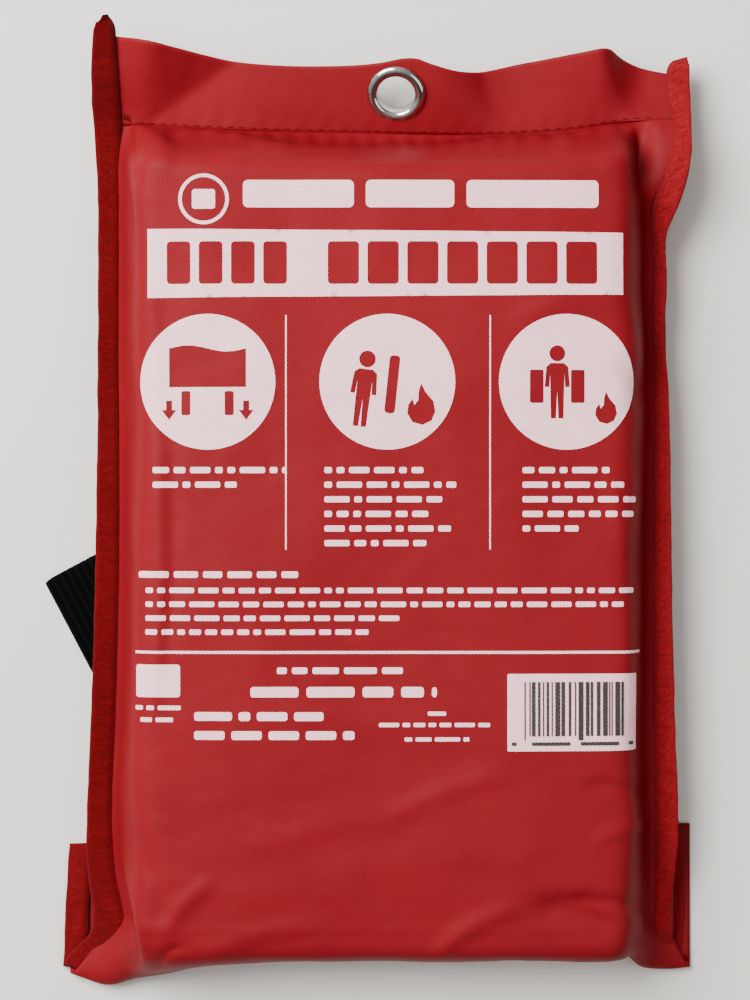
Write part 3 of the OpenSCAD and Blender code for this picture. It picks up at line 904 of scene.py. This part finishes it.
def printed(name, loops, material, lift, spacing=1.7):
    """Ink within the loops (a loop inside another is a gap), laid on the front cloth."""
    points, edges = [], []
    for loop in loops:
        dense = []
        for (x0, y0), (x1, y1) in zip(loop, loop[1:] + loop[:1]):
            count = max(1, int(math.hypot(x1 - x0, y1 - y0) / 1.6))
            dense += [(x0 + (x1 - x0) * i / count, y0 + (y1 - y0) * i / count) for i in range(count)]
        base = len(points)
        points += dense
        edges += [(base + i, base + (i + 1) % len(dense)) for i in range(len(dense))]
    outline = np.array(points)
    low, high = outline.min(axis=0), outline.max(axis=0)
    gx, gy = np.meshgrid(np.arange(low[0] + 0.7, high[0], spacing), np.arange(low[1] + 0.7, high[1], spacing))
    fill = np.stack([gx.ravel(), gy.ravel()], axis=1)
    fill = fill[inside(fill, loops)]
    if len(fill):
        keep = np.array([np.min(np.sum((outline - f) ** 2, axis=1)) > (0.35 * spacing) ** 2 for f in fill])
        fill = fill[keep]
    spots = [Vector(v) for v in points] + [Vector(v) for v in fill]
    made = delaunay_2d_cdt(spots, edges, [], 0, 1e-5)
    flat, triangles = np.array([tuple(v) for v in made[0]]), np.array(made[2])
    centre = flat[triangles].mean(axis=1)
    triangles = triangles[inside(centre, loops)]
    used = np.unique(triangles)
    number = {int(v): i for i, v in enumerate(used)}
    verts = []
    for v in used:
        x, y = flat[v]
        hit = FRONT_TREE.ray_cast(Vector(m(x, y, 60.0)), Vector((0, 0, -1)))
        verts.append(hit[0] + hit[1] * lift * MM if hit[0] else Vector(m(x, y, TOP_Z)))
    mesh = bpy.data.meshes.new(name)
    mesh.from_pydata(verts, [], [[number[int(i)] for i in t] for t in triangles])
    weave_places(mesh, flat[used] * MM)
    ob = finish_object(name, mesh, material, "pouch")
    if mesh.polygons and mesh.polygons[0].normal.z < 0:
        mesh.flip_normals()
    return ob


def word_bars(x, y, width, height, bold=1.0):
    """A line of small plain bars standing for a line of small print."""
    loops = []
    end = x + width
    while x < end - 1.2:
        size = min(end - x, random.choice((2.2, 3.4, 4.6, 5.8, 7.2)) * bold)
        loops.append(box_loop(x, y - height / 2, x + size, y + height / 2, height * 0.3))
        x += size + height * 0.75
    return loops


def figure(x, y, grow, lean=0.0):
    """A plain standing figure: head, body and two legs."""
    body = [(-3.0, -1.5), (-2.6, 3.2), (-1.6, 4.1), (1.6, 4.1), (2.6, 3.2), (3.0, -1.5), (1.9, -1.6), (1.7, 1.4), (1.5, -9.0),
            (0.3, -9.0), (0.0, -2.6), (-0.3, -9.0), (-1.5, -9.0), (-1.7, 1.4), (-1.9, -1.6)]
    return [shift(circle_loop(0, 6.4, 1.9, 28), x, y, grow, lean), shift(body, x, y, grow, lean)]


def flame(x, y, grow):
    """A plain flame: a drop with one side tongue."""
    drop = [(0.0, 5.2), (0.9, 3.4), (2.6, 1.4), (3.0, -0.8), (2.2, -2.7), (0.3, -3.6), (-1.8, -3.0), (-2.9, -1.2),
            (-2.7, 0.6), (-1.8, 1.9), (-1.4, 0.6), (-0.6, 1.6), (-0.5, 3.4)]
    return shift(drop, x, y, grow)


def arrow(x, y, grow):
    return shift([(-0.9, 3.0), (0.9, 3.0), (0.9, 0.2), (2.2, 0.2), (0.0, -2.8), (-2.2, 0.2), (-0.9, 0.2)], x, y, grow)


DISCS = (-49.6, 1.5, 52.5)
DISC_Y = 35.1
DISC_R = 19.3


def disc_marks():
    """Three picture discs: pull down, smother the flames, wrap around."""
    loops = [circle_loop(x, DISC_Y, DISC_R) for x in DISCS]
    x = DISCS[0]
    wave = [(x - 11 + 22 * t, DISC_Y + 9.5 + 0.9 * math.sin(t * 6.28)) for t in np.linspace(0, 1, 13)]
    loops.append(wave + [(x + 11, DISC_Y - 1.5), (x - 11, DISC_Y - 1.5)])
    for side in (-1, 1):
        strap = box_loop(x + side * 6.2 - 1.3, DISC_Y - 9.5, x + side * 6.2 + 1.3, DISC_Y - 2.6, 0.6)
        loops += [strap, arrow(x + side * 11.0, DISC_Y - 8.2, 0.95)]
    x = DISCS[1]
    loops += figure(x - 6.6, DISC_Y - 1.5, 1.25, -7)
    loops.append(shift(box_loop(-1.5, -8.0, 1.5, 8.5, 1.0), x + 1.4, DISC_Y - 1.0, 1.0, -6))
    loops += [flame(x + 9.6, DISC_Y - 7.4, 1.35)]
    x = DISCS[2]
    loops.append(box_loop(x - 10.5, DISC_Y - 6.0, x - 6.6, DISC_Y + 3.4, 0.5))
    loops.append(box_loop(x + 1.2, DISC_Y - 6.0, x + 5.1, DISC_Y + 3.4, 0.5))
    loops += figure(x - 2.7, DISC_Y + 0.4, 1.2)
    loops += [flame(x + 11.2, DISC_Y - 8.2, 1.05)]
    return loops


def title_band():
    """Plain band with two rows of plain blocks left open in it."""
    loops = [[(-66.7, 59.0), (68.6, 59.9), (68.6, 77.6), (-66.7, 78.6)]]
    for start, end, count in ((-61.2, -24.6, 4), (-15.4, 63.6, 7)):
        wide = (end - start) / count
        for i in range(count):
            x = start + i * wide
            loops.append(box_loop(x, 62.9, x + wide - 2.4, 75.0, 1.1))
    return loops


def small_print():
    loops = []
    for x0, top, lines in ((-65.2, 10.0, (38, 26)), (-16.4, 10.0, (28.5, 37.5, 33.5, 30, 36, 29)), (39.9, 10.0, (27, 29, 32.5, 33, 16))):
        for i, width in enumerate(lines):
            loops += word_bars(x0, top - 4.15 * i, width, 1.75)
    loops += word_bars(-69.3, -19.7, 45.5, 1.9, 1.2)
    for i, width in enumerate((139.0, 138.0, 73.0, 63.5)):
        loops += word_bars(-67.3, -24.2 - 3.95 * i, width, 1.55)
    loops += word_bars(-29.9, -47.0, 38.0, 1.9, 1.3)
    loops += word_bars(-37.4, -53.1, 53.0, 3.0, 1.9)
    loops += word_bars(-53.4, -60.0, 36.8, 2.5, 1.5) + word_bars(-53.4, -65.4, 47.8, 2.5, 1.5)
    loops += word_bars(13.0, -59.2, 5.2, 1.2) + word_bars(-0.9, -62.4, 32.4, 1.2) + word_bars(6.4, -66.5, 18.4, 1.2)
    loops += word_bars(-70.2, -57.6, 13.0, 1.3) + word_bars(-68.8, -61.0, 9.4, 1.3)
    loops.append(box_loop(-70.0, -54.6, -57.4, -45.3, 0.8))
    return loops


def heading_bars():
    """A plain ring and three plain bars above the band."""
    loops = [circle_loop(-50.7, 87.0, 7.2), circle_loop(-50.7, 87.0, 6.2), box_loop(-54.0, 84.2, -47.4, 89.8, 0.8)]
    for x0, x1 in ((-39.5, -8.0), (-4.6, 20.5), (24.0, 61.6)):
        loops.append(box_loop(x0, 84.6, x1, 92.4, 1.4))
    return loops


def ruled_lines():
    loops = [box_loop(x - 0.22, -12.6, x + 0.22, 54.0) for x in (-27.3, 30.7)]
    return loops + [box_loop(-70.2, -42.2, 73.8, -41.4)]


INK_LIFT = 0.18
for name, loops in (("print_band", title_band()), ("print_discs", disc_marks()), ("print_small", small_print()),
                    ("print_heading", heading_bars()), ("print_rules", ruled_lines()),
                    ("print_label", [box_loop(35.6, -69.9, 72.6, -47.9, 0.4)])):
    piece = printed(name, loops, WHITE_INK, INK_LIFT, 1.2 if name == "print_label" else 1.7)
    if name == "print_discs":
        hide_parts("front_print")


def label_bars():
    """Plain dark bars of several widths on the label field."""
    loops, x = [], 40.4
    while x < 68.8:
        width = random.choice((0.35, 0.35, 0.7, 0.7, 1.05, 1.4))
        tall = 0 if random.random() < 0.85 else 1.2
        loops.append(box_loop(x, -65.6 - tall, min(x + width, 69.6), -50.2))
        x += width + random.choice((0.35, 0.35, 0.7, 0.7, 1.05))
    for x0, width in ((36.8, 1.4), (42.5, 11.0), (56.4, 11.0), (70.2, 1.4)):
        loops.append(box_loop(x0, -68.3, x0 + width, -67.3, 0.3))
    return loops


piece = printed("print_dark_bars", label_bars(), DARK_INK, 2 * INK_LIFT, 1.2)
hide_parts("print_bars")


# ---------------------------------------------------------------- the folded blanket
PLIES = 7
BUNDLES = 4


def fold_line(count, width, pitch, arc_steps=5):
    """A zigzag of straight runs joined by half turns: places and normals along it."""
    out = []
    for i in range(count):
        ends = (-width / 2, width / 2) if i % 2 == 0 else (width / 2, -width / 2)
        z = (i + 0.5) * pitch
        steps = np.linspace(0, 1, 14)
        out += [(ends[0] + (ends[1] - ends[0]) * t, z) for t in steps]
        if i < count - 1:
            side = 1 if ends[1] > 0 else -1
            turn = np.linspace(-math.pi / 2, math.pi / 2, arc_steps + 2)[1:-1]
            out += [(ends[1] + side * math.cos(a) * pitch / 2, z + pitch / 2 + math.sin(a) * pitch / 2) for a in turn]
    return np.array(out)


def blanket_sheet():
    """One cloth, folded to and fro across into a band, and the band folded to and fro along."""
    band_t = (PACK_Z1 - PACK_Z0) / BUNDLES
    across = fold_line(PLIES, 2 * PACK_X - 7.0, (band_t - 0.9) / PLIES)
    low, high = PACK_Y + band_t + 0.4, PACK_TOP - band_t - 2.4
    path, turn = [], []
    for i in range(BUNDLES):
        up = i % 2 == 0
        y0, y1 = (PACK_Y + 0.6 if i == 0 else low, high) if up else (high, PACK_Y + 0.6 if i == BUNDLES - 1 else low)
        z = PACK_Z0 + band_t * (i + 0.5)
        steps = np.linspace(0, 1, 30)
        path += [(y0 + (y1 - y0) * t, z) for t in steps]
        turn += [0.0 if up else math.pi] * len(steps)
        if i < BUNDLES - 1:
            side = 1 if up else -1
            for a in np.linspace(0, math.pi, 16)[1:-1]:
                path.append((y1 + side * math.sin(a) * band_t / 2, z + band_t / 2 - math.cos(a) * band_t / 2))
                turn.append(a if up else math.pi + a * -1)
    path, turn = np.array(path), np.array(turn)
    tangent = np.gradient(path, axis=0)
    tangent /= np.linalg.norm(tangent, axis=1, keepdims=True)
    normal = np.stack([-tangent[:, 1], tangent[:, 0]], axis=1)
    offset = across[:, 1] - PLIES * (band_t - 0.9) / PLIES / 2
    p = np.zeros((len(path), len(across), 3))
    p[..., 0] = across[:, 0]
    p[..., 1] = path[:, :1] + normal[:, :1] * offset
    p[..., 2] = path[:, 1:] + normal[:, 1:] * offset
    ply = np.repeat(np.arange(len(across)) // 19, 1)
    wobble = np.sin(path[:, :1] / 17.0 + ply * 1.7) * 0.5 * (np.abs(across[:, 0]) > PACK_X - 8)
    p[..., 0] += wobble * np.sign(across[:, 0])
    p[..., 0] *= 1 - 0.07 * smooth((p[..., 2] - PACK_Z1 + 9.0) / 8.0)
    p[..., 2] = PACK_Z0 + 1.2 + (p[..., 2] - PACK_Z0) * 0.72
    reach = np.concatenate([[0], np.cumsum(np.hypot(*np.diff(across, axis=0).T))])
    run = np.concatenate([[0], np.cumsum(np.hypot(*np.diff(path, axis=0).T))])
    flat = np.stack(np.meshgrid(reach, run), axis=-1)
    return p, flat, reach[-1], run[-1]


BLANKET_P, BLANKET_FLAT, CUT_W, CUT_L = blanket_sheet()
blanket = thicken(grid("folded_blanket", BLANKET_P, BLANKET_FLAT, GLASS, "blanket"), 0.4, offset=0.0)
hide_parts("fire_blanket")
HEM_LO, HEM_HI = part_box("blanket_hem")


def rounded_slab(name, lo, hi, material, body, bevel, seed=0.0, cut=3.0):
    """A soft edge or pile strip between two corners, in the row frame, with uneven faces."""
    size = Vector(hi) - Vector(lo)
    counts = [max(1, int(d / (cut * MM))) for d in size]
    bm = bmesh.new()
    bmesh.ops.create_cube(bm, size=1.0)
    for v in bm.verts:
        v.co = Vector(lo) + Vector([size[i] * (v.co[i] + 0.5) for i in range(3)])
    for axis in range(3):
        for k in range(1, counts[axis]):
            place = Vector(lo)
            place[axis] += size[axis] * k / counts[axis]
            plane = Vector((0, 0, 0))
            plane[axis] = 1.0
            bmesh.ops.bisect_plane(bm, geom=bm.verts[:] + bm.edges[:] + bm.faces[:], plane_co=place, plane_no=plane)
    sharp = [e for e in bm.edges if len(e.link_faces) == 2 and e.calc_face_angle() > 1.0]
    bmesh.ops.bevel(bm, geom=sharp, offset=bevel * MM, segments=3, affect="EDGES", profile=0.6)
    for v in bm.verts:
        v.co += Vector(noise.noise_vector(v.co * 160 + Vector((seed, 0, 0)))) * 0.12 * MM
    mesh = bpy.data.meshes.new(name)
    bm.to_mesh(mesh)
    bm.free()
    weave_places(mesh, np.array([v.co[:2] for v in mesh.vertices]))
    return finish_object(name, mesh, material, body)


hem = rounded_slab("blanket_hem_roll", HEM_LO, HEM_HI, GLASS, "blanket", 0.9)
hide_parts("blanket_hem")


# ---------------------------------------------------------------- webbing straps
def ribbon(name, path, across, width, thick, body=None, flat_start=0.0):
    """Webbing along a path of points, with its across direction at each, as a closed strip with soft edges."""
    path, across = np.asarray(path, float), np.asarray(across, float)
    tangent = np.gradient(path, axis=0)
    tangent /= np.linalg.norm(tangent, axis=1, keepdims=True)
    up = np.cross(across, tangent)
    columns = 34
    upper = [(-0.5 + t, 0.5 - 0.5 * abs(2 * t - 1) ** 14) for t in np.linspace(0, 1, columns)]
    ring = upper + [(u, -h) for u, h in upper[::-1]]
    rib = 0.05 * np.sin(np.array([u for u, _ in ring]) * width / 2.4 * 2 * math.pi)
    p = np.zeros((len(path), len(ring), 3))
    for k, (u, h) in enumerate(ring):
        lift = h * thick + (rib[k] if h > 0 else -rib[k]) * 1.0
        p[:, k] = path + across * u * width + up * lift
    run = flat_start + np.concatenate([[0], np.cumsum(np.linalg.norm(np.diff(path, axis=0), axis=1))])
    side = np.array([u * width for u, _ in ring])
    flat = np.stack(np.meshgrid(side, run), axis=-1)
    ob = grid(name, p, flat, WEBBING, body, wrap=True)
    bm = bmesh.new()
    bm.from_mesh(ob.data)
    bmesh.ops.holes_fill(bm, edges=[e for e in bm.edges if e.is_boundary])
    bmesh.ops.recalc_face_normals(bm, faces=bm.faces)
    bm.to_mesh(ob.data)
    bm.free()
    return ob


STRAP_W = 38.0
ANCHOR_IN = 0.7
for side, word in ((-1, "left"), (1, "right")):
    anchor_lo, anchor_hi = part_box("strap_anchor_" + word)
    fold = joint_place(f"strap_{word}_fold")
    pivot = joint_place(f"strap_{word}_swing")
    swing = Vector(next(j for j in frame["record"]["behaviour"]["joints"] if j["name"] == f"strap_{word}_swing")["axis"])
    ahead = np.array(Vector((0, 0, 1)).cross(swing).normalized() * -1)
    ahead = ahead if ahead[1] > 0 else -ahead
    lean = math.atan2(ahead[0], ahead[1])
    cx = (anchor_lo.x + anchor_hi.x) / 2 / MM - MID_X
    fold_y, fold_z = fold.y / MM - MID_Y + ANCHOR_IN, fold.z / MM
    top = anchor_hi.z / MM
    pivot_y = pivot.y / MM - MID_Y
    thick = 1.15
    down = [(cx, fold_y, z) for z in np.arange(top - 0.4, fold_z + 2.4, -0.6)]
    anchor = ribbon("strap_anchor_webbing_" + word, down, [(1, 0, 0)] * len(down), STRAP_W, thick, "blanket")
    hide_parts("strap_anchor_" + word)
    turn = [(cx, fold_y + 2.2 - 2.2 * math.cos(a), fold_z + 2.2 - 2.2 * math.sin(a)) for a in np.linspace(0, math.pi / 2, 9)]
    bend = 24.0
    spots = [(cx, fold_y, fold_z + 3.4)] + turn
    spots += [(cx, y, fold_z) for y in np.arange(turn[-1][1] + 1.5, pivot_y - bend - 1.0, 2.0)]
    sides = [(1.0, 0.0, 0.0)] * len(spots)
    steps = 15
    for k in range(steps + 1):
        t = k / steps
        x = cx + bend * math.sin(lean) * (t**3 - t**2)
        y = pivot_y - bend + bend * (3 * t**2 - 2 * t**3 + t**3 - 2 * t**2 + t + math.cos(lean) * (t**3 - t**2))
        dx = bend * math.sin(lean) * (3 * t**2 - 2 * t)
        dy = bend * (6 * t - 6 * t**2 + 3 * t**2 - 4 * t + 1 + math.cos(lean) * (3 * t**2 - 2 * t))
        spots.append((x, y, fold_z))
        sides.append((dy / math.hypot(dx, dy), -dx / math.hypot(dx, dy), 0.0))
    root = ribbon("strap_root_webbing_" + word, spots, sides, STRAP_W, thick)
    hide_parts(f"strap_{word}_root")
    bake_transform(root)
    base = np.array(spots[-1])
    across = np.array([math.cos(lean), -math.sin(lean), 0.0])
    length = 84.5
    out = []
    for s in np.arange(0.0, length - 1.2, 2.0):
        droop = 1.1 * float(smooth((s - 40) / 45))
        out.append(base + ahead * s + np.array([0, 0, 0.62 * float(smooth(s / 12)) - droop]))
    tip = out[-1]
    tip_turn = [tip + ahead * (1.2 * math.sin(a)) + np.array([0, 0, -0.62 + 0.62 * math.cos(a)]) for a in np.linspace(0.3, math.pi, 9)]
    back = [v + np.array([0, 0, -1.24]) for v in out[::-1] if (v - base) @ ahead > 5.0]
    route = out + tip_turn + back[1:]
    handle = ribbon("strap_handle_webbing_" + word, route, [across] * len(route), STRAP_W, thick)
    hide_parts(f"strap_{word}_handle")
    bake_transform(handle)
    rows = []
    for s in (12, 24):
        for u in np.arange(-15, 15.1, 3.4):
            v = base + ahead * s + across * u
            rows.append(((v[0], v[1], fold_z + 0.62 + thick / 2 + 0.1), tuple(across)))
    piece = stitches("strap_thread_" + word, rows, f"strap_{word}_handle", DARK_THREAD, radius=0.25, length=2.6)
    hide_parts(f"strap_{word}_stitching")

rows = []
for word in ("left", "right"):
    lo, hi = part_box("strap_anchor_" + word)
    face_y = joint_place(f"strap_{word}_fold").y / MM - MID_Y + ANCHOR_IN - 0.68
    for z in (HEM_LO.z / MM + 1.2, HEM_HI.z / MM - 1.2):
        for x in np.arange(lo.x / MM - MID_X + 3, hi.x / MM - MID_X - 2, 3.4):
            rows.append(((x, face_y, z), (1, 0, 0)))
piece = stitches("anchor_thread", rows, "blanket", DARK_THREAD, radius=0.25, length=2.6)
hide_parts("anchor_stitching")


# ---------------------------------------------------------------- inner lip and its closure
def mouth_cloth():
    lo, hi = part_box("mouth_lip")
    rows, columns = 24, 70
    x = np.linspace(lo.x / MM - MID_X + 7.0, hi.x / MM - MID_X - 7.0, columns)
    y = np.linspace(lo.y / MM - MID_Y, hi.y / MM - MID_Y, rows)
    p = np.zeros((rows, columns, 3))
    p[..., 0], p[..., 1] = x, y[:, None]
    p[..., 2] = (lo.z + hi.z) / 2 / MM
    p[..., 2] += waves(p, 18.0, 6.0) * 0.12
    return p


mouth_p = mouth_cloth()
mouth = thicken(grid("mouth_lip_cloth", mouth_p, mouth_p[..., :2], CLOTH, "mouth_lip"), CLOTH_T, offset=0.0)
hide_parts("mouth_lip")
for node, body, seed in (("loop_tape", "flap_lip", 1.0), ("hook_tape", "mouth_lip", 2.0)):
    lo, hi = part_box(node)
    piece = rounded_slab(node + "_pile", lo, hi, CLOSURE, body, 0.35, seed, cut=1.5)
    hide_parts(node)
for node, body in (("lip_stitching", "flap_lip"), ("mouth_stitching", "mouth_lip")):
    lo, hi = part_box(node)
    y, z = (lo.y + hi.y) / 2 / MM - MID_Y, (lo.z + hi.z) / 2 / MM
    rows = [((x, y, z), (1, 0, 0)) for x in np.arange(lo.x / MM - MID_X, hi.x / MM - MID_X, 3.5)]
    piece = stitches(node + "_thread", rows, body, THREAD, radius=0.2)
    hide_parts(node)


# ---------------------------------------------------------------- floor, light and camera
bpy.ops.mesh.primitive_plane_add(size=6.0, location=(0, 0, 0))
floor = bpy.context.object
floor.name = "floor"
floor.data.materials.append(floor_material())


def area_light(name, place, aim, size, power, color=(1, 1, 1)):
    data = bpy.data.lights.new(name, "AREA")
    data.shape, data.size, data.energy, data.color = "DISK", size, power, color
    ob = bpy.data.objects.new(name, data)
    bpy.context.scene.collection.objects.link(ob)
    ob.location = place
    ob.rotation_euler = (Vector(aim) - Vector(place)).to_track_quat("-Z", "Y").to_euler()


area_light("key", (-0.48, 0.35, 0.74), (0, 0, 0), 0.72, 23.5, (1.0, 0.985, 0.955))
area_light("fill", (0.9, -0.5, 1.3), (0, 0, 0), 1.2, 7.0, (1.0, 0.96, 0.93))
world_light = bpy.data.worlds.new("studio")
bpy.context.scene.world = world_light
world_light.use_nodes = True
sky = world_light.node_tree
toward = sky.nodes.new("ShaderNodeVectorMath")
toward.operation = "DOT_PRODUCT"
toward.inputs[1].default_value = (-0.62, 0.42, 0.66)
sky.links.new(sky.nodes.new("ShaderNodeTexCoord").outputs["Generated"], toward.inputs[0])
fade = sky.nodes.new("ShaderNodeValToRGB")
fade.color_ramp.elements[0].position = 0.12
fade.color_ramp.elements[0].color = (0.085, 0.080, 0.078, 1.0)
fade.color_ramp.elements[1].position = 0.80
fade.color_ramp.elements[1].color = (0.98, 0.99, 1.0, 1.0)
sky.links.new(toward.outputs["Value"], fade.inputs[0])
sky.links.new(fade.outputs[0], sky.nodes["Background"].inputs["Color"])
sky.nodes["Background"].inputs["Strength"].default_value = 0.92

AIM_X, AIM_Y = -2.0, 1.5
CAMERA_Z = 0.75
VIEW_HEIGHT = 0.290
camera_data = bpy.data.cameras.new("camera")
camera_data.sensor_width = 36.0
camera_data.lens = 36.0 * (CAMERA_Z - 0.015) / VIEW_HEIGHT
camera = bpy.data.objects.new("camera", camera_data)
bpy.context.scene.collection.objects.link(camera)
camera.location = (*m(AIM_X, AIM_Y, 0)[:2], CAMERA_Z)
bpy.context.scene.camera = camera
